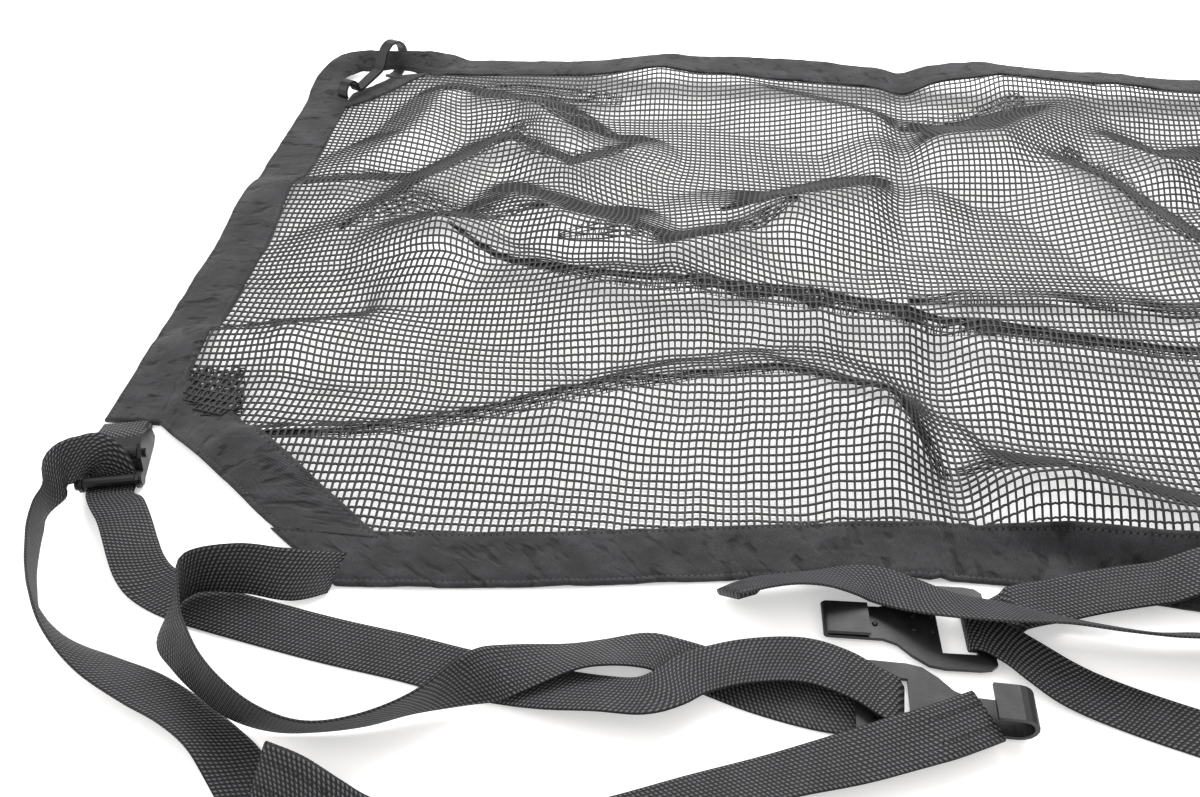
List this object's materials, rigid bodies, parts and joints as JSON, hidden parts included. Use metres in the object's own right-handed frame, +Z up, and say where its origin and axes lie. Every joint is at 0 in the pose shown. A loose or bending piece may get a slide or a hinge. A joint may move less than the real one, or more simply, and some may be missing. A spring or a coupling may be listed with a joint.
{
  "type": "cargo net",
  "caption": "Open-mesh cargo net laid flat with soft folds, cloth sleeve hems, corner strips, webbing straps, flat steel hooks and cam buckles.",
  "frame": {"origin": "centre of the net's box, on the surface that it lies on", "axes": "+X along the net's long side to the right, +Y from the strap side to the plain far side, +Z up"},
  "size_m": [0.934, 0.7322, 0.0329],
  "materials": {
    "mesh_vinyl": "coated yarn, slight sheen",
    "sleeve_cloth": "fine ribbed weave",
    "webbing": "flat woven polyester, ribbed",
    "black_steel": "semi-gloss black coating on steel"
  },
  "bodies": {
    "net": {"buckle_frame_left": "black_steel", "buckle_frame_right": "black_steel", "buckle_pin_left": "black_steel", "buckle_pin_right": "black_steel", "buckle_roller_left": "black_steel", "buckle_roller_right": "black_steel", "corner_strip_far_left": "sleeve_cloth", "corner_strip_far_right": "sleeve_cloth", "corner_strip_near_left": "sleeve_cloth", "corner_strip_near_right": "sleeve_cloth", "hook_far_left": "black_steel", "hook_far_right": "black_steel", "hook_near_left": "black_steel", "hook_near_right": "black_steel", "mesh_panel": "mesh_vinyl", "sleeve_near": "sleeve_cloth", "sleeve_outer": "sleeve_cloth", "strap_left": "webbing", "strap_loose": "webbing", "strap_right": "webbing", "tab_left": "webbing", "tab_right": "webbing"},
    "lever_left": {"buckle_lever_left": "black_steel"},
    "lever_right": {"buckle_lever_right": "black_steel"}
  },
  "joints": [
    {"name": "lever_left_hinge", "type": "hinge", "parent": "net", "child": "lever_left", "pos_m": [-0.44261, -0.15278, 0.01], "axis": [0.9781, 0.2079, 0], "range_deg": [0, 50], "stiffness_Nm_per_rad": 0.02, "springref_deg": -20.05},
    {"name": "lever_right_hinge", "type": "hinge", "parent": "net", "child": "lever_right", "pos_m": [0.44261, -0.15278, 0.01], "axis": [0.9781, -0.2079, 0], "range_deg": [0, 50], "stiffness_Nm_per_rad": 0.02, "springref_deg": -20.05}
  ]
}
